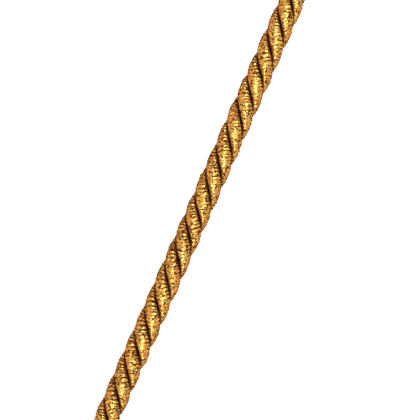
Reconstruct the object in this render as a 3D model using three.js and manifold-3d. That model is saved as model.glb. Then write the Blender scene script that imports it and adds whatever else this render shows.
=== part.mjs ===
// A cut length of three-ply twisted decorative cord, lying straight on a flat surface.
// Millimetres, +Z up. The cord runs along X, and the origin is under its middle, on that surface.

import * as THREE from "three";
import { mergeVertices } from "three/addons/utils/BufferGeometryUtils.js";
import Module from "manifold-3d";

// Driving dimensions
const cordRadius = 3; // over the crests of the plies
const cordLength = 140;
const layLength = 17.4; // along the cord, for one full turn of a ply
const plyCount = 3;
const plyGap = 0.36; // between neighbouring plies
const restingDepth = 0.2; // how far the crests press flat where the cord lies

// The section of one ply, pressed into a soft wedge by its two neighbours
const crestRadius = 2.15; // of its outer face
const shoulderRadius = 0.88; // where the outer face turns into the flanks
const tipRadius = 0.35; // where the flanks meet, near the cord's middle
const crestSides = 4;
const shoulderSides = 3;

// The twist
const layDirection = -1; // left-handed, an S lay
const firstCrest = 22; // degrees from +Y towards +Z, for the first ply at the cord's middle
const stepsPerLay = 16;
const endEase = 0.93; // share of its size that a ply keeps where it is cut

// How the hand-laid twist wanders: a row for each stretch, from one end to the other.
// at is the place along the cord, turn the extra twist in degrees, and plump the share of full thickness.
const wander = [
  { at: -70, turn: 30, plump: 0.985 },
  { at: -48, turn: 22, plump: 0.98 },
  { at: -38, turn: 15, plump: 0.99 },
  { at: -30, turn: 6, plump: 0.985 },
  { at: -18, turn: 0, plump: 0.995 },
  { at: -11, turn: 0, plump: 0.99 },
  { at: -6, turn: 4, plump: 0.985 },
  { at: 1, turn: -11, plump: 0.99 },
  { at: 6, turn: -8, plump: 1.0 },
  { at: 14, turn: -5, plump: 0.995 },
  { at: 25, turn: -1, plump: 1.01 },
  { at: 38, turn: -14, plump: 1.005 },
  { at: 70, turn: -12, plump: 1.0 },
];

const plyColours = ["#c08a2b", "#bd8527", "#c48f33"];

// The value of one column of the wander table at a place along the cord, eased from row to row.
function wanderAt(place, column) {
  const next = wander.findIndex((row) => row.at >= place);
  if (next < 1) return (next < 0 ? wander.at(-1) : wander[0])[column];
  const [from, to] = [wander[next - 1], wander[next]];
  const share = THREE.MathUtils.smoothstep(place, from.at, to.at);
  return THREE.MathUtils.lerp(from[column], to[column], share);
}

// Points on an arc, both ends included.
function arcPoints(x, y, radius, from, to, sides) {
  return Array.from({ length: sides + 1 }, (_, i) => {
    const angle = from + ((to - from) * i) / sides;
    return new THREE.Vector2(x + radius * Math.cos(angle), y + radius * Math.sin(angle));
  });
}

// The outline of one ply across the cord, with its crest on +X and the cord's middle at the origin.
function plySection() {
  const wedge = Math.PI / plyCount; // half the angle that a ply fills
  const flankNormal = wedge + Math.PI / 2;
  const crestX = cordRadius - crestRadius;
  const reach = crestRadius - shoulderRadius;
  const inset = shoulderRadius + plyGap / 2 - crestX * Math.sin(wedge);
  const turn = wedge - Math.asin(inset / reach); // where the outer face meets the shoulder
  const shoulderX = crestX + reach * Math.cos(turn);
  const shoulderY = reach * Math.sin(turn);
  const tipX = (tipRadius + plyGap / 2) / Math.sin(wedge);
  const crest = arcPoints(crestX, 0, crestRadius, -turn, turn, crestSides);
  const upper = arcPoints(shoulderX, shoulderY, shoulderRadius, turn, flankNormal, shoulderSides);
  const tip = arcPoints(tipX, 0, tipRadius, flankNormal, 2 * Math.PI - flankNormal, 1);
  const lower = upper.map((p) => new THREE.Vector2(p.x, -p.y)).reverse();
  return new THREE.Shape([...crest, ...upper.slice(1), ...tip, ...lower.slice(0, -1)]);
}

// One ply, laid round the cord's middle: the section turns as it goes along.
function plyGeometry(section, index) {
  const steps = Math.round((cordLength / layLength) * stepsPerLay);
  const geometry = new THREE.ExtrudeGeometry(section, { depth: cordLength, steps, bevelEnabled: false });
  const position = geometry.getAttribute("position");
  const alongCord = new THREE.Vector3(0, 0, 1);
  const point = new THREE.Vector3();
  for (let i = 0; i < position.count; i++) {
    point.fromBufferAttribute(position, i);
    const place = point.z - cordLength / 2;
    const atEnd = Math.abs(place) > cordLength / 2 - 1e-6;
    const size = wanderAt(place, "plump") * (atEnd ? endEase : 1);
    const laid = firstCrest + (360 * index) / plyCount + (layDirection * 360 * place) / layLength;
    const degrees = laid + wanderAt(place, "turn");
    point.set(point.x * size, point.y * size, place);
    point.applyAxisAngle(alongCord, THREE.MathUtils.degToRad(degrees));
    position.setXYZ(i, point.x, point.y, point.z);
  }
  // The section's axes become Y and Z, and the way that it was extruded becomes X.
  const lying = new THREE.Matrix4().makeBasis(
    new THREE.Vector3(0, 1, 0),
    new THREE.Vector3(0, 0, 1),
    new THREE.Vector3(1, 0, 0),
  );
  geometry.applyMatrix4(lying);
  geometry.translate(0, 0, cordRadius - restingDepth);
  return geometry;
}

const wasm = await Module();
wasm.setup();

function toSolid(geometry) {
  const bare = geometry.clone();
  bare.deleteAttribute("normal");
  bare.deleteAttribute("uv");
  const merged = mergeVertices(bare, 1e-4);
  return new wasm.Manifold(
    new wasm.Mesh({
      numProp: 3,
      vertProperties: merged.getAttribute("position").array,
      triVerts: new Uint32Array(merged.index.array),
    }),
  );
}

function toGeometry(solid) {
  const mesh = solid.getMesh();
  const geometry = new THREE.BufferGeometry();
  geometry.setAttribute("position", new THREE.BufferAttribute(mesh.vertProperties, 3));
  geometry.setIndex(new THREE.BufferAttribute(mesh.triVerts, 1));
  geometry.computeVertexNormals();
  return geometry;
}

// Everything under the surface that the cord lies on.
function underSurface() {
  const depth = 4 * restingDepth;
  const slab = new THREE.BoxGeometry(2 * cordLength, 4 * cordRadius, depth);
  slab.translate(0, 0, -depth / 2);
  return toSolid(slab);
}

const cord = new THREE.Group();
const section = plySection();
const surface = underSurface();
for (let index = 0; index < plyCount; index++) {
  const solid = toSolid(plyGeometry(section, index)).subtract(surface);
  const material = new THREE.MeshStandardMaterial({
    color: plyColours[index],
    metalness: 0.6,
    roughness: 0.42,
  });
  const ply = new THREE.Mesh(toGeometry(solid), material);
  ply.name = `ply_${index + 1}`;
  cord.add(ply);
}

// The widest crests decide the box, so the cord is set square over the origin.
const middle = new THREE.Box3().setFromObject(cord).getCenter(new THREE.Vector3());
cord.children.forEach((ply) => ply.geometry.translate(-middle.x, -middle.y, 0));

export default cord;
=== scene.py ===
import math

import bmesh
import bpy
import numpy as np
from mathutils import Matrix, Vector


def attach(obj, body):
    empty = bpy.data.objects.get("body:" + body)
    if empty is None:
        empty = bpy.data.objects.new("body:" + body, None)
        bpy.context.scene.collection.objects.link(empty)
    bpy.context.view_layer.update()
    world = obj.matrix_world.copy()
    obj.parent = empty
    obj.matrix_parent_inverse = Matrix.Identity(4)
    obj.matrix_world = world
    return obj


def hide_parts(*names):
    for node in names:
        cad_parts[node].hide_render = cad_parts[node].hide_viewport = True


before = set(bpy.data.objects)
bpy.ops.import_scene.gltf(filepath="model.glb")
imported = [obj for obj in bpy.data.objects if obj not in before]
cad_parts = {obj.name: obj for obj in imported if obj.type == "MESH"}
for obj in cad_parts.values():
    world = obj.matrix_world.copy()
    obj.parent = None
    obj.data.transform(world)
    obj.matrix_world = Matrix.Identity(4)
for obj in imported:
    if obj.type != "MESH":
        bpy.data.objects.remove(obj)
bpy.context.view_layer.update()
print("frame loaded")

mm = 0.001

# the cord as it is laid up
cord = {
    "radius": 3.0 * mm,
    "length": 140 * mm,
    "layLength": 17.4 * mm,
    "plyCount": 3,
    "firstCrest": 22,  # degrees from +Y towards +Z, at the cord's middle
    "restingDepth": 0.2 * mm,
    "plyMiddle": 1.58 * mm,  # how far a ply's own middle is from the cord's
    "pathStep": 7,  # mm between the points of its middle line
}
axisHeight = cord["radius"] - cord["restingDepth"]
twistRate = 2 * math.pi / cord["layLength"]

# how the twist wanders: place along the cord in mm, extra turn in degrees, share of full thickness
wander = [
    {"at": -70, "turn": 30, "plump": 0.985},
    {"at": -48, "turn": 22, "plump": 0.98},
    {"at": -38, "turn": 15, "plump": 0.99},
    {"at": -30, "turn": 6, "plump": 0.985},
    {"at": -18, "turn": 0, "plump": 0.995},
    {"at": -11, "turn": 0, "plump": 0.99},
    {"at": -6, "turn": 4, "plump": 0.985},
    {"at": 1, "turn": -11, "plump": 0.99},
    {"at": 6, "turn": -8, "plump": 1.0},
    {"at": 14, "turn": -5, "plump": 0.995},
    {"at": 25, "turn": -1, "plump": 1.01},
    {"at": 38, "turn": -14, "plump": 1.005},
    {"at": 70, "turn": -12, "plump": 1.0},
]


def eased(share):
    share = np.clip(share, 0, 1)
    return share * share * (3 - 2 * share)


def wanderAt(place, column):
    at = np.array([row["at"] for row in wander]) * mm
    values = np.array([row[column] for row in wander], float)
    i = np.clip(np.searchsorted(at, place) - 1, 0, len(at) - 2)
    share = eased((place - at[i]) / (at[i + 1] - at[i]))
    return values[i] * (1 - share) + values[i + 1] * share


# camera straight above the cord, turned so that the cord leans as in the picture
view = {
    "lens": 100,
    "sensor": 36,
    "nearestSeen": 10 * mm,
    "pictureWidth": 95.46 * mm,  # at the cord's height
    "lean": 23.87,  # degrees right of upright
    "middleBeside": -2.188 * mm,  # from the cord's middle to the picture's, across the cord
    "middleAlong": 0.968 * mm,
}


def addCamera():
    camera = bpy.data.objects.new("camera", bpy.data.cameras.new("camera"))
    bpy.context.scene.collection.objects.link(camera)
    camera.data.lens = view["lens"]
    camera.data.sensor_width = view["sensor"]
    camera.data.clip_start = view["nearestSeen"]
    away = view["pictureWidth"] * view["lens"] / view["sensor"]
    camera.location = (view["middleAlong"], view["middleBeside"], axisHeight + away)
    camera.rotation_euler = (0, 0, math.radians(view["lean"] - 90))
    bpy.context.scene.camera = camera


addCamera()
print("camera set")

# node helpers
nodeSpacing = 200


def addNode(tree, kind, place, **settings):
    node = tree.nodes.new(kind)
    node.location = (place[0] * nodeSpacing, place[1] * -nodeSpacing)
    for name, value in settings.items():
        setattr(node, name, value)
    return node


def feed(tree, socket, value):
    if isinstance(value, (int, float, tuple)):
        socket.default_value = value
    else:
        tree.links.new(value, socket)


def mathNode(tree, operation, place, *values):
    node = addNode(tree, "ShaderNodeMath", place, operation=operation)
    for socket, value in zip(node.inputs, values):
        feed(tree, socket, value)
    return node.outputs[0]


def mixColour(tree, place, share, first, second):
    node = addNode(tree, "ShaderNodeMix", place, data_type="RGBA")
    for number, value in ((0, share), (6, first), (7, second)):  # a Mix node's sockets for colours
        feed(tree, node.inputs[number], value)
    return node.outputs[2]


def rangeNode(tree, place, value, start, end, becomes=(0, 1), kind="LINEAR"):
    node = addNode(tree, "ShaderNodeMapRange", place, interpolation_type=kind)
    names = ("Value", "From Min", "From Max", "To Min", "To Max")
    for name, given in zip(names, (value, start, end, *becomes)):
        feed(tree, node.inputs[name], given)
    return node.outputs[0]


def patternNode(tree, kind, place, where, scale, **settings):
    node = addNode(tree, kind, place, **settings)
    node.inputs["Scale"].default_value = scale
    tree.links.new(where, node.inputs["Vector"])
    return node


def addBump(tree, place, shader, height, distance, strength=1, **settings):
    node = addNode(tree, "ShaderNodeBump", place, **settings)
    node.inputs["Strength"].default_value = strength
    node.inputs["Distance"].default_value = distance
    tree.links.new(height, node.inputs["Height"])
    tree.links.new(node.outputs[0], shader.inputs["Normal"])


def startMaterial(name):
    material = bpy.data.materials.new(name)
    material.use_nodes = True
    return material, material.node_tree, material.node_tree.nodes["Principled BSDF"]


# the metal film wound round each yarn: slanting strips, some facing up and some not, over a dull core
woundFilm = {
    "startSpread": 7,  # strips by which one yarn's start is off another's, at most
    "kinkScale": 1.7,
    "kinkDetail": 3,
    "kinkRoughness": 0.6,
    "kinksAcross": 1.9,  # how much closer they come from yarn to yarn than from strip to strip
    "kinkBend": 0.9,  # strips
    "softEdge": 0.06,  # of a strip's width, either way
    "filamentLead": 0.9,  # filaments crossed in 1 mm along the yarn
    "filamentStray": 0.8,
    "filamentHeight": 0.3,
}
filmSockets = ("Strips", "Slant", "Share", "Kinks", "Filaments")


def makeFilmGroup():
    group = bpy.data.node_groups.new("woundFilm", "ShaderNodeTree")
    for name in filmSockets:
        group.interface.new_socket(name, in_out="INPUT", socket_type="NodeSocketFloat")
    for name in ("Film", "Glint", "Height"):
        group.interface.new_socket(name, in_out="OUTPUT", socket_type="NodeSocketFloat")
    given = addNode(group, "NodeGroupInput", (-7, 0)).outputs
    end = addNode(group, "NodeGroupOutput", (5, 0))
    uv = addNode(group, "ShaderNodeUVMap", (-7, 2), uv_map="alongYarn")
    split = addNode(group, "ShaderNodeSeparateXYZ", (-6, 2))
    group.links.new(uv.outputs[0], split.inputs[0])
    lengthways, crossways = split.outputs[0], split.outputs[1]  # mm along the yarn, and whole yarns
    yarn = mathNode(group, "FLOOR", (-5, 4), crossways)
    ownStart = addNode(group, "ShaderNodeTexWhiteNoise", (-4, 4), noise_dimensions="1D")
    group.links.new(yarn, ownStart.inputs["W"])
    slanted = mathNode(group, "MULTIPLY", (-5, 3), crossways, given["Slant"])
    wound = mathNode(group, "MULTIPLY", (-5, 2), lengthways, given["Strips"])
    wound = mathNode(group, "ADD", (-4, 2), wound, slanted)
    wound = mathNode(group, "MULTIPLY_ADD", (-3, 2), ownStart.outputs[0], woundFilm["startSpread"], wound)
    # kinks in the film
    stretched = addNode(group, "ShaderNodeCombineXYZ", (-4, 5))
    closer = mathNode(group, "MULTIPLY", (-5, 5), crossways, woundFilm["kinksAcross"])
    group.links.new(wound, stretched.inputs[0])
    group.links.new(closer, stretched.inputs[1])
    grain = patternNode(group, "ShaderNodeTexNoise", (-3, 5), stretched.outputs[0], woundFilm["kinkScale"],
                        noise_dimensions="2D")
    grain.inputs["Detail"].default_value = woundFilm["kinkDetail"]
    grain.inputs["Roughness"].default_value = woundFilm["kinkRoughness"]
    bent = mathNode(group, "MULTIPLY_ADD", (-2, 2), grain.outputs[0], woundFilm["kinkBend"], wound)
    strip = mathNode(group, "FLOOR", (-1, 3), bent)
    inStrip = mathNode(group, "FRACT", (-1, 2), bent)
    # every strip of every yarn has its own sheen
    own = addNode(group, "ShaderNodeTexWhiteNoise", (1, 3), noise_dimensions="2D")
    which = addNode(group, "ShaderNodeCombineXYZ", (0, 3))
    group.links.new(strip, which.inputs[0])
    group.links.new(yarn, which.inputs[1])
    group.links.new(which.outputs[0], own.inputs["Vector"])
    # film in the middle of each strip, and bare core between
    arch = mathNode(group, "PINGPONG", (0, 2), inStrip, 0.5)
    edge = mathNode(group, "SUBTRACT", (0, 1), 0.5, mathNode(group, "MULTIPLY", (-1, 1), given["Share"], 0.5))
    edgeFrom = mathNode(group, "SUBTRACT", (1, 0), edge, woundFilm["softEdge"])
    edgeTo = mathNode(group, "ADD", (1, -1), edge, woundFilm["softEdge"])
    film = rangeNode(group, (2, 1), arch, edgeFrom, edgeTo, kind="SMOOTHSTEP")
    kinks = mathNode(group, "MULTIPLY", (2, 4), grain.outputs[0], given["Kinks"])
    tilt = mathNode(group, "SUBTRACT", (2, 5), own.outputs["Value"], 0.5)
    tilted = mathNode(group, "MULTIPLY", (3, 4), inStrip, tilt)
    # filaments side by side in every yarn
    turns = mathNode(group, "MULTIPLY", (-1, 6), crossways, given["Filaments"])
    turns = mathNode(group, "MULTIPLY_ADD", (0, 6), lengthways, woundFilm["filamentLead"], turns)
    turns = mathNode(group, "MULTIPLY_ADD", (1, 6), grain.outputs[0], woundFilm["filamentStray"], turns)
    filament = mathNode(group, "SINE", (3, 6), mathNode(group, "MULTIPLY", (2, 6), turns, 2 * math.pi))
    height = mathNode(group, "MULTIPLY_ADD", (3, 2), filament, woundFilm["filamentHeight"], kinks)
    height = mathNode(group, "ADD", (4, 3), height, tilted)
    group.links.new(film, end.inputs["Film"])
    group.links.new(own.outputs["Value"], end.inputs["Glint"])
    group.links.new(height, end.inputs["Height"])
    return group


filmGroup = makeFilmGroup()

# the wound yarns' finish, from the bright film down to painted shade in the grooves
goldYarn = {
    "film": (1.0, 0.88, 0.16, 1),
    "filmDeep": (0.95, 0.42, 0.06, 1),
    "coreDusty": (0.40, 0.15, 0.08, 1),
    "core": (0.60, 0.13, 0.02, 1),
    # near-black painted shade, for the grooves, between the yarns and in the specks
    "grooveShade": (0.05, 0.010, 0.006, 1),
    "strips": 2.8,  # of film, in 1 mm along a yarn
    "slant": 1.3,  # strips crossed from one side of a yarn to the other
    "share": 0.65,  # of the yarn, covered by film
    "kinks": 0.08,  # against the filaments' own height
    "filaments": 5,  # side by side in a yarn
    "glintSheen": 0.45,  # how far the strip, the yarn and the patch each take the film from deep to bright
    "toneSheen": 0.3,
    "patchSheen": 0.25,
    "dyeScale": 700,  # per metre, of the core thread's patches
    "dyeFrom": 0.35,
    "dyeTo": 0.65,
    "speckScale": 1900,  # per metre, of random dark specks, painted shade of the gaps between filaments
    "speckFrom": 0.38,
    "speckTo": 0.52,
    "speckDepth": 1.0,
    "metallic": 0.9,
    "gloss": 0.5,
    "roughness": 0.2,
    "dullRoughness": 0.75,
    "grooveFrom": 2.0 * mm,  # distances from the cord's middle between which the painted groove shade ends
    "grooveTo": 2.65 * mm,
    "hollowShade": 0.95,  # how dark the painted shade between the yarns is
    "crestShare": 0.6,  # of that shade, on the plies' outermost line
    "bump": 0.7,
    "bumpHeight": 0.05 * mm,
}


def makeGoldYarn():
    material, tree, shader = startMaterial("goldYarn")
    film = addNode(tree, "ShaderNodeGroup", (-7, 0), node_tree=filmGroup)
    for name in filmSockets:
        film.inputs[name].default_value = goldYarn[name.lower()]
    covered = film.outputs["Film"]
    tone = addNode(tree, "ShaderNodeAttribute", (-7, 2), attribute_name="yarnTone").outputs["Fac"]
    # painted shade between the yarns, worked out with the ply's mesh
    shadeBetweenYarns = addNode(tree, "ShaderNodeAttribute", (-7, 3), attribute_name="shadeBetweenYarns").outputs["Fac"]
    place = addNode(tree, "ShaderNodeTexCoord", (-7, 5)).outputs["Object"]
    # distance from the cord's middle line, which tells crest from groove for the painted groove shade
    split = addNode(tree, "ShaderNodeSeparateXYZ", (-6, 5))
    tree.links.new(place, split.inputs[0])
    high = mathNode(tree, "SUBTRACT", (-5, 5), split.outputs[2], axisHeight)
    squares = mathNode(tree, "ADD", (-4, 5),
                       mathNode(tree, "MULTIPLY", (-5, 6), split.outputs[1], split.outputs[1]),
                       mathNode(tree, "MULTIPLY", (-5, 7), high, high))
    distance = mathNode(tree, "SQRT", (-3, 5), squares)
    outsideGrooveShade = rangeNode(tree, (-2, 5), distance, goldYarn["grooveFrom"], goldYarn["grooveTo"], kind="SMOOTHSTEP")
    # colours of the core thread and of the film over it
    dye = patternNode(tree, "ShaderNodeTexNoise", (-6, -1), place, goldYarn["dyeScale"])
    patches = rangeNode(tree, (-5, -1), dye.outputs[0], goldYarn["dyeFrom"], goldYarn["dyeTo"])
    core = mixColour(tree, (-4, -1), patches, goldYarn["core"], goldYarn["coreDusty"])
    sheen = mathNode(tree, "MULTIPLY", (-6, 2), tone, goldYarn["toneSheen"])
    sheen = mathNode(tree, "MULTIPLY_ADD", (-5, 1), film.outputs["Glint"], goldYarn["glintSheen"], sheen)
    sheen = mathNode(tree, "MULTIPLY_ADD", (-4, 2), patches, goldYarn["patchSheen"], sheen)
    gold = mixColour(tree, (-4, 1), sheen, goldYarn["filmDeep"], goldYarn["film"])
    shown = mixColour(tree, (-3, 1), covered, core, gold)
    # painted shade: darker between the yarns, in the specks and down in the grooves
    deepest = -goldYarn["hollowShade"]
    rim = rangeNode(tree, (-2, 6), distance, goldYarn["grooveTo"], cord["radius"],
                    (deepest, deepest * goldYarn["crestShare"]))
    shaded = mathNode(tree, "MULTIPLY_ADD", (-4, 3), shadeBetweenYarns, rim, 1)
    # random specks of painted shade, darkened towards the same near-black as the grooves
    specks = patternNode(tree, "ShaderNodeTexNoise", (-6, -4), place, goldYarn["speckScale"])
    unspecked = rangeNode(tree, (-5, -4), specks.outputs[0], goldYarn["speckFrom"], goldYarn["speckTo"],
                          (1 - goldYarn["speckDepth"], 1), kind="SMOOTHSTEP")
    shaded = mathNode(tree, "MULTIPLY", (-2, 3), shaded, unspecked)
    # where this falls to nothing, near-black painted shade takes the place of the yarn's colour, gloss and
    # metal
    unshaded = mathNode(tree, "MULTIPLY", (-1, 4), shaded, outsideGrooveShade)
    tree.links.new(mixColour(tree, (-2, 1), unshaded, goldYarn["grooveShade"], shown), shader.inputs["Base Color"])
    gloss = mathNode(tree, "MULTIPLY", (-1, 5), unshaded, goldYarn["gloss"])
    tree.links.new(gloss, shader.inputs["Specular IOR Level"])
    metal = mathNode(tree, "MULTIPLY", (-4, -3), unshaded, goldYarn["metallic"])
    tree.links.new(mathNode(tree, "MULTIPLY", (-3, -1), covered, metal), shader.inputs["Metallic"])
    rough = rangeNode(tree, (-3, -2), covered, 0, 1, (goldYarn["dullRoughness"], goldYarn["roughness"]))
    tree.links.new(rough, shader.inputs["Roughness"])
    addBump(tree, (-3, -4), shader, film.outputs["Height"], goldYarn["bumpHeight"], goldYarn["bump"])
    return material


goldMaterial = makeGoldYarn()

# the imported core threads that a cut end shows
cutCore = {
    "thread": (0.62, 0.42, 0.18, 1),
    "between": (0.20, 0.10, 0.03, 1),
    "threadScale": 4500,  # per metre
    "roughness": 0.85,
    "bumpHeight": 0.08 * mm,
}


def makeCutCore():
    material, tree, shader = startMaterial("cutCore")
    shader.inputs["Roughness"].default_value = cutCore["roughness"]
    place = addNode(tree, "ShaderNodeTexCoord", (-6, 0)).outputs["Object"]
    cells = patternNode(tree, "ShaderNodeTexVoronoi", (-4, 0), place, cutCore["threadScale"])
    threads = cells.outputs["Distance"]
    colour = mixColour(tree, (-2, 0), threads, cutCore["thread"], cutCore["between"])
    tree.links.new(colour, shader.inputs["Base Color"])
    addBump(tree, (-2, -2), shader, threads, cutCore["bumpHeight"], invert=True)
    return material


cutMaterial = makeCutCore()

# the film of the loose threads
looseFilm = {
    "dull": (0.45, 0.17, 0.03, 1),
    "bright": (1.0, 0.80, 0.22, 1),
    "grainScale": 2600,  # per metre
    "metallic": 0.8,
    "roughness": 0.2,
    "roughnessMore": 0.3,  # where the grain is brightest
}


def makeLooseFilm():
    material, tree, shader = startMaterial("looseFilm")
    shader.inputs["Metallic"].default_value = looseFilm["metallic"]
    place = addNode(tree, "ShaderNodeTexCoord", (-4, 0)).outputs["Object"]
    grain = patternNode(tree, "ShaderNodeTexNoise", (-3, 0), place, looseFilm["grainScale"]).outputs[0]
    colour = mixColour(tree, (-2, 0), grain, looseFilm["dull"], looseFilm["bright"])
    tree.links.new(colour, shader.inputs["Base Color"])
    rough = mathNode(tree, "MULTIPLY_ADD", (-2, -1), grain, looseFilm["roughnessMore"],
                     looseFilm["roughness"])
    tree.links.new(rough, shader.inputs["Roughness"])
    return material


looseMaterial = makeLooseFilm()
print("materials made")

# one ply, wound with yarns that lie side by side
# its angles are degrees that a face is turned from the crest
woundPly = {
    "seed": 11,
    "crestRadius": 2.15 * mm,  # of its outer face
    "shoulderRadius": 0.88 * mm,
    "tipRadius": 0.35 * mm,
    "gap": 0.36 * mm,  # to its neighbours
    "outlineSteps": 40,  # to each arc and flat
    "columns": 50,
    "fewFrom": 125,  # past this angle the plies face each other
    "fewShare": 0.4,  # of the full density of columns there
    "yarnSpacing": 0.57 * mm,  # along the cord
    "rowsPerYarn": 6,
    "overrun": 2.2 * mm,  # made longer, then cut off square
    "windingLead": -0.6 * mm,  # along the cord, for a turn of one yarn round the ply
    "seamFade": 60,  # degrees either side of the hidden seam in which lead and stray die out
    "relief": 0.17 * mm,
    "sink": 0.125 * mm,  # how far the hollows between the yarns lie inside the ply's solid
    "press": 0.12 * mm,  # how far the smooth hidden faces bulge into the gap
    "pressFrom": 132,
    "pressOver": 16,
    "fullness": 1.5,  # higher makes the yarns' backs narrower and the hollows wider
    "uneven": 0.5,  # how much their widths differ
    "lift": 0.08 * mm,  # how much higher one stands than another
    "liftWave": 1.7 * mm,
    "liftShift": 2.3,  # keeps the lift's waves out of step with the strands
    "stray": 0.07 * mm,  # sideways, of neighbours together
    "strayWave": (0.7 * mm, 0.8 * mm),  # along a yarn, and along the cord
    "wobble": 0.05 * mm,  # sideways, of one yarn by itself
    "wobbleWave": 0.9 * mm,
    "swell": 0.8,  # share by which the relief swells and shrinks
    "swellWave": (0.5 * mm, 0.45 * mm),
    "swellLimits": (0.3, 1.6),
    "openFlank": 0.35,  # how much wider the yarns gape on one flank than on the crest, and less on the other; the painted shade between them deepens with it
    "openRate": 1.5,  # a flank is fully open 90 degrees / openRate from the crest
    "twistRelief": 0.022 * mm,  # of the strands that each yarn is twisted from
    "twistPitch": 0.5 * mm,
    "yarnsTogether": 4,  # yarns wound on side by side, which come round again and again
    "sharedTone": 0.35,  # how much of a yarn's tone comes from its place among those
    "endPinch": 0.07,  # share by which the cut ends are thinner
    "endPinchLength": 1.1 * mm,
    "lowest": 0.01 * mm,
    "rippleWaves": 7,
    "straySeed": 31,
    "swellSeed": 41,
    "rowWithin": 1e-6,  # of a yarn
    "seamWithin": 1e-4,  # of the sheet's width
    "mergeWithin": 1e-6,  # metres
    "cutWithin": 1e-7,
}


def plyOutline():
    wedge = math.pi / cord["plyCount"]
    flank = math.degrees(wedge) + 90
    halfGap = woundPly["gap"] / 2
    crest = woundPly["crestRadius"]
    crestX = cord["radius"] - crest
    shoulder = woundPly["shoulderRadius"]
    reach = crest - shoulder
    turn = math.degrees(wedge - math.asin((shoulder + halfGap - crestX * math.sin(wedge)) / reach))
    shoulderX = crestX + reach * math.cos(math.radians(turn))
    shoulderY = reach * math.sin(math.radians(turn))
    tip = woundPly["tipRadius"]
    tipX = (tip + halfGap) / math.sin(wedge)
    # where each arc or flat ends: centre, radius, and the way that it faces
    ends = np.array([
        (tipX, 0, tip, -180),
        (tipX, 0, tip, -flank),
        (shoulderX, -shoulderY, shoulder, -flank),
        (shoulderX, -shoulderY, shoulder, -turn),
        (crestX, 0, crest, -turn),
        (crestX, 0, crest, turn),
        (shoulderX, shoulderY, shoulder, turn),
        (shoulderX, shoulderY, shoulder, flank),
        (tipX, 0, tip, flank),
        (tipX, 0, tip, 180),
    ])
    fine = np.linspace(0, len(ends) - 1, woundPly["outlineSteps"] * (len(ends) - 1) + 1)
    x, y, radius, facing = (np.interp(fine, range(len(ends)), ends[:, i]) for i in range(4))
    # the shoulders run into the crest without a step, so nothing lies between rows 3 and 4, or 5 and 6
    jump = (fine > 3) & (fine < 4) | (fine > 5) & (fine < 6)
    x, y, radius, facing = (values[~jump] for values in (x, y, radius, facing))
    normal = np.stack([np.cos(np.radians(facing)), np.sin(np.radians(facing))], 1)
    point = np.stack([x, y], 1) + normal * radius[:, None]
    steps = np.linalg.norm(np.diff(point, axis=0), axis=1)
    run = np.concatenate([[0], np.cumsum(steps)])
    facingBetween = np.abs(facing[1:] + facing[:-1]) / 2
    weight = np.where(facingBetween > woundPly["fewFrom"], woundPly["fewShare"], 1)
    weighted = np.concatenate([[0], np.cumsum(steps * weight)])
    at = np.linspace(0, weighted[-1], woundPly["columns"] + 1)
    columns = (point[:, 0], point[:, 1], facing, run - run[-1] / 2)
    return [np.interp(at, weighted, values) for values in columns]


def yarnTable(index):
    whole = cord["length"] + 2 * woundPly["overrun"]
    count = math.ceil(whole / woundPly["yarnSpacing"])
    chance = np.random.default_rng(woundPly["seed"] + index)
    widths = 1 + woundPly["uneven"] * chance.uniform(-1, 1, count)
    starts = (np.concatenate([[0], np.cumsum(widths / widths.sum())]) - 0.5) * whole
    together = woundPly["yarnsTogether"]
    shared = woundPly["sharedTone"]
    sameYarn = chance.uniform(0, 1, together)[np.arange(count) % together]
    return {
        "count": count,
        "starts": starts,
        "lift": woundPly["lift"] * chance.normal(0, 1, count),
        "phase": chance.uniform(0, 2 * math.pi, count),
        "bend": chance.uniform(0, 2 * math.pi, count),
        "tone": np.clip(shared * sameYarn + (1 - shared) * chance.uniform(0, 1, count), 0, 1),
    }


def ripple(first, second, seed):
    chance = np.random.default_rng(seed)
    total = np.zeros(len(first))
    for _ in range(woundPly["rippleWaves"]):
        ways = chance.normal(0, 1, 2)
        total += np.sin(ways[0] * first + ways[1] * second + chance.uniform(0, 2 * math.pi))
    return total / math.sqrt(woundPly["rippleWaves"] / 2)


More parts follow.
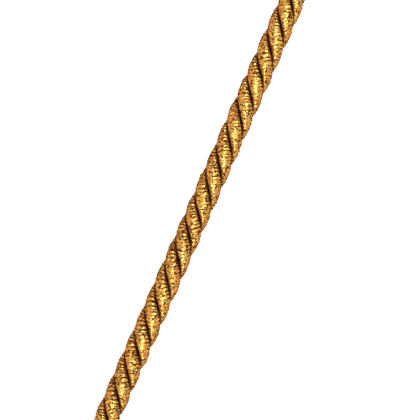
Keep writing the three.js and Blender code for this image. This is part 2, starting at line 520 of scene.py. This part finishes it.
# from a place on the flat sheet of yarns, in shares of its width and length, to its place on the ply
def wrapPly(widthShare, lengthShare, index):
    yarns = yarnTable(index)
    at = widthShare * woundPly["columns"]
    ticks = range(woundPly["columns"] + 1)
    out, aside, facing, run = (np.interp(at, ticks, column) for column in plyOutline())
    facing = np.radians(facing)
    count = lengthShare * yarns["count"]
    yarn = np.clip(np.floor(count + woundPly["rowWithin"]).astype(int), 0, yarns["count"] - 1)
    across = np.clip(count - yarn, 0, 1)
    # the yarns lie square to the ply's own middle line, and lean by their winding
    middle = cord["plyMiddle"]
    square = twistRate * middle * aside / (1 + twistRate**2 * middle * out)
    around = np.arctan2(aside, out - middle)
    shown = eased((math.pi - np.abs(around)) / math.radians(woundPly["seamFade"]))
    lean = woundPly["windingLead"] * around / (2 * math.pi) * shown
    x = np.interp(count, range(yarns["count"] + 1), yarns["starts"])
    wave = woundPly["strayWave"]
    stray = woundPly["stray"] * ripple(run / wave[0], x / wave[1], woundPly["straySeed"] + index)
    bend = np.sin(run / woundPly["wobbleWave"] + yarns["bend"][yarn])
    wobble = woundPly["wobble"] * bend * np.sin(math.pi * across)
    x = x + square + lean + shown * (stray + wobble)  # the sheet's two sides meet where nothing is shown
    # relief
    back = np.sin(math.pi * across) ** woundPly["fullness"]
    strand = np.cos(2 * math.pi * (run / woundPly["twistPitch"] + across) + yarns["phase"][yarn])
    waver = np.sin(run / woundPly["liftWave"] + woundPly["liftShift"] * yarns["phase"][yarn])
    wave = woundPly["swellWave"]
    swell = 1 + woundPly["swell"] * ripple(run / wave[0], x / wave[1], woundPly["swellSeed"] + index)
    opening = np.clip(facing * woundPly["openRate"], -math.pi / 2, math.pi / 2)
    gape = 1 + woundPly["openFlank"] * np.sin(opening)
    relief = woundPly["relief"] * np.clip(swell, *woundPly["swellLimits"]) + woundPly["twistRelief"] * strand
    relief = gape * (back - 0.5) * (relief + yarns["lift"][yarn] * waver)
    relief = relief + 0.5 * woundPly["relief"] - woundPly["sink"]
    inner = np.abs(facing) - math.radians(woundPly["pressFrom"])
    inner = eased(inner / math.radians(woundPly["pressOver"]))
    relief = relief * (1 - inner) + woundPly["press"] * inner
    # lay the ply round the cord's middle line
    pinched = eased(1 - (cord["length"] / 2 - np.abs(x)) / woundPly["endPinchLength"])
    size = wanderAt(x, "plump") * (1 - woundPly["endPinch"] * pinched)
    out = out * size + np.cos(facing) * relief
    aside = aside * size + np.sin(facing) * relief
    start = cord["firstCrest"] + 360 * index / cord["plyCount"]
    angle = np.radians(start + wanderAt(x, "turn")) - twistRate * x
    y = out * np.cos(angle) - aside * np.sin(angle)
    z = out * np.sin(angle) + aside * np.cos(angle) + axisHeight
    place = np.stack([x, y, np.maximum(z, woundPly["lowest"])], 1)
    # the last is the painted shade between the yarns, deeper where they gape
    return place, np.stack([run / mm, count], 1), yarns["tone"][yarn], (1 - back) * gape


def makePly(index):
    name = f"woundPly{index + 1}"
    rows = yarnTable(index)["count"] * woundPly["rowsPerYarn"]
    sheet = bmesh.new()
    bmesh.ops.create_grid(sheet, x_segments=woundPly["columns"], y_segments=rows, size=0.5)
    mesh = bpy.data.meshes.new(name)
    sheet.to_mesh(mesh)
    sheet.free()
    flat = np.zeros(len(mesh.vertices) * 3, np.float32)
    mesh.vertices.foreach_get("co", flat)
    flat = flat.reshape(-1, 3).astype(float) + 0.5
    place, alongYarn, tone, shadeBetweenYarns = wrapPly(flat[:, 0], flat[:, 1], index)
    mesh.vertices.foreach_set("co", place.astype(np.float32).ravel())
    corners = np.zeros(len(mesh.loops), np.int32)
    mesh.loops.foreach_get("vertex_index", corners)
    uvs = alongYarn[corners].astype(np.float32).ravel()
    mesh.uv_layers.new(name="alongYarn").data.foreach_set("uv", uvs)
    for attribute, values in (("yarnTone", tone), ("shadeBetweenYarns", shadeBetweenYarns)):
        layer = mesh.attributes.new(attribute, "FLOAT", "POINT")
        layer.data.foreach_set("value", values.astype(np.float32))
    # close the sheet into a tube, cut it square, and close the ends
    tube = bmesh.new()
    tube.from_mesh(mesh)
    tube.verts.ensure_lookup_table()
    edge = woundPly["seamWithin"]
    seam = [tube.verts[i] for i in np.nonzero((flat[:, 0] < edge) | (flat[:, 0] > 1 - edge))[0]]
    bmesh.ops.remove_doubles(tube, verts=seam, dist=woundPly["mergeWithin"])
    for side in (-1, 1):
        everything = tube.verts[:] + tube.edges[:] + tube.faces[:]
        bmesh.ops.bisect_plane(tube, geom=everything, dist=woundPly["cutWithin"],
                               plane_co=(side * cord["length"] / 2, 0, 0), plane_no=(side, 0, 0),
                               clear_outer=True)
    for face in tube.faces:
        face.smooth = True
    caps = bmesh.ops.holes_fill(tube, edges=tube.edges[:], sides=0)["faces"]
    for face in caps:
        face.material_index = 1
    bmesh.ops.triangulate(tube, faces=caps)
    bmesh.ops.recalc_face_normals(tube, faces=tube.faces[:])
    tube.to_mesh(mesh)
    tube.free()
    mesh.materials.append(goldMaterial)
    mesh.materials.append(cutMaterial)
    ply = bpy.data.objects.new(name, mesh)
    bpy.context.scene.collection.objects.link(ply)
    print(name, len(mesh.polygons), "faces")
    return ply


plies = [makePly(index) for index in range(cord["plyCount"])]
for index, ply in enumerate(plies):
    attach(ply, "root")
    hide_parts(f"ply_{index + 1}")

# loose threads: loops that stand off the windings, and fine ends of fibre
looseThreads = {
    "seed": 5,
    "shown": (0.30, 0.70),  # the part of a ply's outline that faces out
    "loops": 34,
    "loopPoints": 15,
    "loopPlaces": (0.04, 0.96),  # along the cord, as shares of the sheet of yarns
    "loopLength": (1.2 * mm, 4.0 * mm),
    "loopDrift": 0.6,  # mm along the cord at its middle
    "loopRise": (0.10 * mm, 0.42 * mm),
    "loopArch": 0.7,  # lower makes the loops squarer
    "loopRoot": 0.06 * mm,  # how deep they start in the winding
    "loopRadius": 0.05 * mm,
    "loopLowest": 0.08 * mm,
    "ends": 260,
    "endPoints": 5,
    "endPlaces": (0.03, 0.97),
    "endLength": (0.2 * mm, 0.7 * mm),
    "endLean": 0.7,
    "endRadius": 0.014 * mm,
    "endLowest": 0.03 * mm,
    "pulledLoop": (39.3 * mm, -1.76 * mm),  # the one that stands out in the picture
    "pulledPoints": 9,
    "pulledLength": 1.15 * mm,
    "pulledSag": 0.2 * mm,
    "pulledRise": 3,  # of its radii above the cord at its middle
    "pulledDip": 2,  # of its radii into the cord at its ends
}


def addThread(data, points, radius):
    spline = data.splines.new("POLY")
    spline.points.add(len(points) - 1)
    for point, place in zip(spline.points, points):
        point.co = (*place, 1)
        point.radius = radius


def outwards(places):
    ways = places * (0, 1, 1) - (0, 0, axisHeight)
    return ways / np.linalg.norm(ways, axis=1)[:, None]


def looseLoop(chance):
    ply = int(chance.integers(cord["plyCount"]))
    along = np.linspace(0, 1, looseThreads["loopPoints"])
    arch = np.sin(math.pi * along)
    run = plyOutline()[3]  # metres round the ply
    width = chance.uniform(*looseThreads["shown"])
    width = width + (along - 0.5) * chance.uniform(*looseThreads["loopLength"]) / (run[-1] - run[0])
    length = np.full(len(along), chance.uniform(*looseThreads["loopPlaces"]))
    length = length + arch * chance.normal(0, looseThreads["loopDrift"]) * mm / cord["length"]
    places = wrapPly(width, length, ply)[0]
    rise = chance.uniform(*looseThreads["loopRise"]) * arch ** looseThreads["loopArch"]
    places += outwards(places) * (rise - looseThreads["loopRoot"])[:, None]
    places[:, 2] = np.maximum(places[:, 2], looseThreads["loopLowest"])
    return places


def looseEnd(chance):
    ply = int(chance.integers(cord["plyCount"]))
    along = np.linspace(0, 1, looseThreads["endPoints"])[:, None]
    width = np.array([chance.uniform(*looseThreads["shown"])])
    length = np.array([chance.uniform(*looseThreads["endPlaces"])])
    start = wrapPly(width, length, ply)[0]
    lean = chance.normal(0, looseThreads["endLean"], 3)
    reach = chance.uniform(*looseThreads["endLength"])
    places = start + (outwards(start) + lean * along) * along * reach
    places[:, 2] = np.maximum(places[:, 2], looseThreads["endLowest"])
    return places


def pulledLoop():
    lean = math.radians(view["lean"])
    along = np.linspace(-0.5, 0.5, looseThreads["pulledPoints"])
    hang = (0.25 - along**2) * 4 * looseThreads["pulledSag"]
    run = along * looseThreads["pulledLength"]
    x = looseThreads["pulledLoop"][0] + run * math.sin(lean) - hang * math.cos(lean)
    y = looseThreads["pulledLoop"][1] - run * math.cos(lean) - hang * math.sin(lean)
    fall = looseThreads["pulledRise"] + looseThreads["pulledDip"]
    reach = cord["radius"] + looseThreads["loopRadius"] * (looseThreads["pulledRise"] - fall * 4 * along**2)
    return np.stack([x, y, axisHeight + np.sqrt(reach**2 - y**2)], 1)


def makeLooseThreads():
    chance = np.random.default_rng(looseThreads["seed"])
    data = bpy.data.curves.new("looseThreads", "CURVE")
    data.dimensions = "3D"
    data.bevel_depth = 1  # each point's own radius is then in metres
    data.bevel_resolution = 1
    data.use_fill_caps = True
    for _ in range(looseThreads["loops"]):
        addThread(data, looseLoop(chance), looseThreads["loopRadius"])
    for _ in range(looseThreads["ends"]):
        places = looseEnd(chance)
        if abs(places[:, 0]).max() < cord["length"] / 2:
            addThread(data, places, looseThreads["endRadius"])
    addThread(data, pulledLoop(), looseThreads["loopRadius"])
    curve = bpy.data.objects.new("looseThreadLines", data)
    bpy.context.scene.collection.objects.link(curve)
    bpy.context.view_layer.update()
    mesh = bpy.data.meshes.new_from_object(curve.evaluated_get(bpy.context.evaluated_depsgraph_get()))
    bpy.data.objects.remove(curve)
    mesh.name = "looseThreads"
    tidied = bmesh.new()
    tidied.from_mesh(mesh)
    bmesh.ops.recalc_face_normals(tidied, faces=tidied.faces[:])
    for face in tidied.faces:
        face.smooth = True
    tidied.to_mesh(mesh)
    tidied.free()
    mesh.materials.clear()
    mesh.materials.append(looseMaterial)
    threads = bpy.data.objects.new("looseThreads", mesh)
    bpy.context.scene.collection.objects.link(threads)
    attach(threads, "root")
    print("looseThreads", len(mesh.polygons), "faces")
    return threads


threads = makeLooseThreads()

print("plies wound")

# floor and light
studio = {
    "floorColour": (0.9, 0.9, 0.89, 1),
    "floorRoughness": 0.9,
    "floorGlow": 0.6,  # the pale floor is lit from under, as a light table is
    "floorReach": 3,  # metres each way
    "sky": [  # sine of the height above the horizon, and colour
        (-0.6, (0.2, 0.1, 0.05, 1)),
        (-0.3, (0.95, 0.52, 0.25, 1)),
        (0.15, (0.65, 0.36, 0.18, 1)),
        (0.6, (0.05, 0.05, 0.05, 1)),
    ],
    "away": 0.6,  # metres from the cord to each softbox
}

# tilt is degrees down from overhead; heading and turn are degrees from the cord towards +Y
# the key is a long strip, laid out along the cord
softboxes = {
    "key": {"tilt": 11, "heading": -55, "length": 2.0, "width": 0.08, "turn": 10, "power": 11,
            "colour": (1, 1, 1)},
    "fill": {"tilt": 72, "heading": 90, "length": 0.5, "width": 0.5, "turn": 0, "power": 0.7,
             "colour": (1, 0.6, 0.3)},
    "upperEnd": {"tilt": 56, "heading": 8, "length": 0.35, "width": 0.16, "turn": 8, "power": 2.5,
                 "colour": (1, 1, 1)},
    "lowerEnd": {"tilt": 66, "heading": 190, "length": 0.35, "width": 0.16, "turn": 190, "power": 3,
                 "colour": (1, 1, 1)},
    "side": {"tilt": 80, "heading": -90, "length": 0.4, "width": 0.4, "turn": 0, "power": 0.2,
             "colour": (1, 0.7, 0.5)},
}


def addFloor():
    sheet = bmesh.new()
    bmesh.ops.create_grid(sheet, x_segments=1, y_segments=1, size=studio["floorReach"])
    mesh = bpy.data.meshes.new("floor")
    sheet.to_mesh(mesh)
    sheet.free()
    material, _, shader = startMaterial("paleFloor")
    shader.inputs["Base Color"].default_value = studio["floorColour"]
    shader.inputs["Roughness"].default_value = studio["floorRoughness"]
    shader.inputs["Emission Color"].default_value = studio["floorColour"]
    shader.inputs["Emission Strength"].default_value = studio["floorGlow"]
    mesh.materials.append(material)
    floor = bpy.data.objects.new("floor", mesh)
    floor.visible_glossy = False
    floor.visible_diffuse = False
    bpy.context.scene.collection.objects.link(floor)


def addSoftbox(name, box):
    light = bpy.data.lights.new(name, "AREA")
    light.color = box["colour"]
    light.shape = "RECTANGLE"
    light.size = box["length"]
    light.size_y = box["width"]
    light.energy = box["power"]
    lamp = bpy.data.objects.new(name, light)
    bpy.context.scene.collection.objects.link(lamp)
    tilt, heading, turn = (math.radians(box[angle]) for angle in ("tilt", "heading", "turn"))
    toLamp = Vector((math.sin(tilt) * math.cos(heading), math.sin(tilt) * math.sin(heading), math.cos(tilt)))
    lamp.location = toLamp * studio["away"]
    across = toLamp.cross((math.cos(turn), math.sin(turn), 0)).normalized()
    lamp.rotation_euler = Matrix((across.cross(toLamp), across, toLamp)).transposed().to_euler()


def addWorld():
    world = bpy.data.worlds.new("studio")
    world.use_nodes = True
    tree = world.node_tree
    way = addNode(tree, "ShaderNodeTexCoord", (-5, 0))
    split = addNode(tree, "ShaderNodeSeparateXYZ", (-4, 0))
    tree.links.new(way.outputs["Generated"], split.inputs[0])
    sky = addNode(tree, "ShaderNodeValToRGB", (-2, 0))
    while len(sky.color_ramp.elements) < len(studio["sky"]):
        sky.color_ramp.elements.new(1)
    for stop, (height, colour) in zip(sky.color_ramp.elements, studio["sky"]):
        stop.position = height / 2 + 0.5
        stop.color = colour
    tree.links.new(rangeNode(tree, (-3, 0), split.outputs[2], -1, 1), sky.inputs[0])
    # the camera itself sees a pale ground and no sky
    straight = addNode(tree, "ShaderNodeLightPath", (-2, -2)).outputs["Is Camera Ray"]
    seen = mixColour(tree, (-1, 0), straight, sky.outputs[0], studio["floorColour"])
    tree.links.new(seen, tree.nodes["Background"].inputs["Color"])
    bpy.context.scene.world = world


addFloor()
for name, box in softboxes.items():
    addSoftbox(name, box)
addWorld()
bpy.context.scene.view_settings.view_transform = "Standard"
print("studio ready")
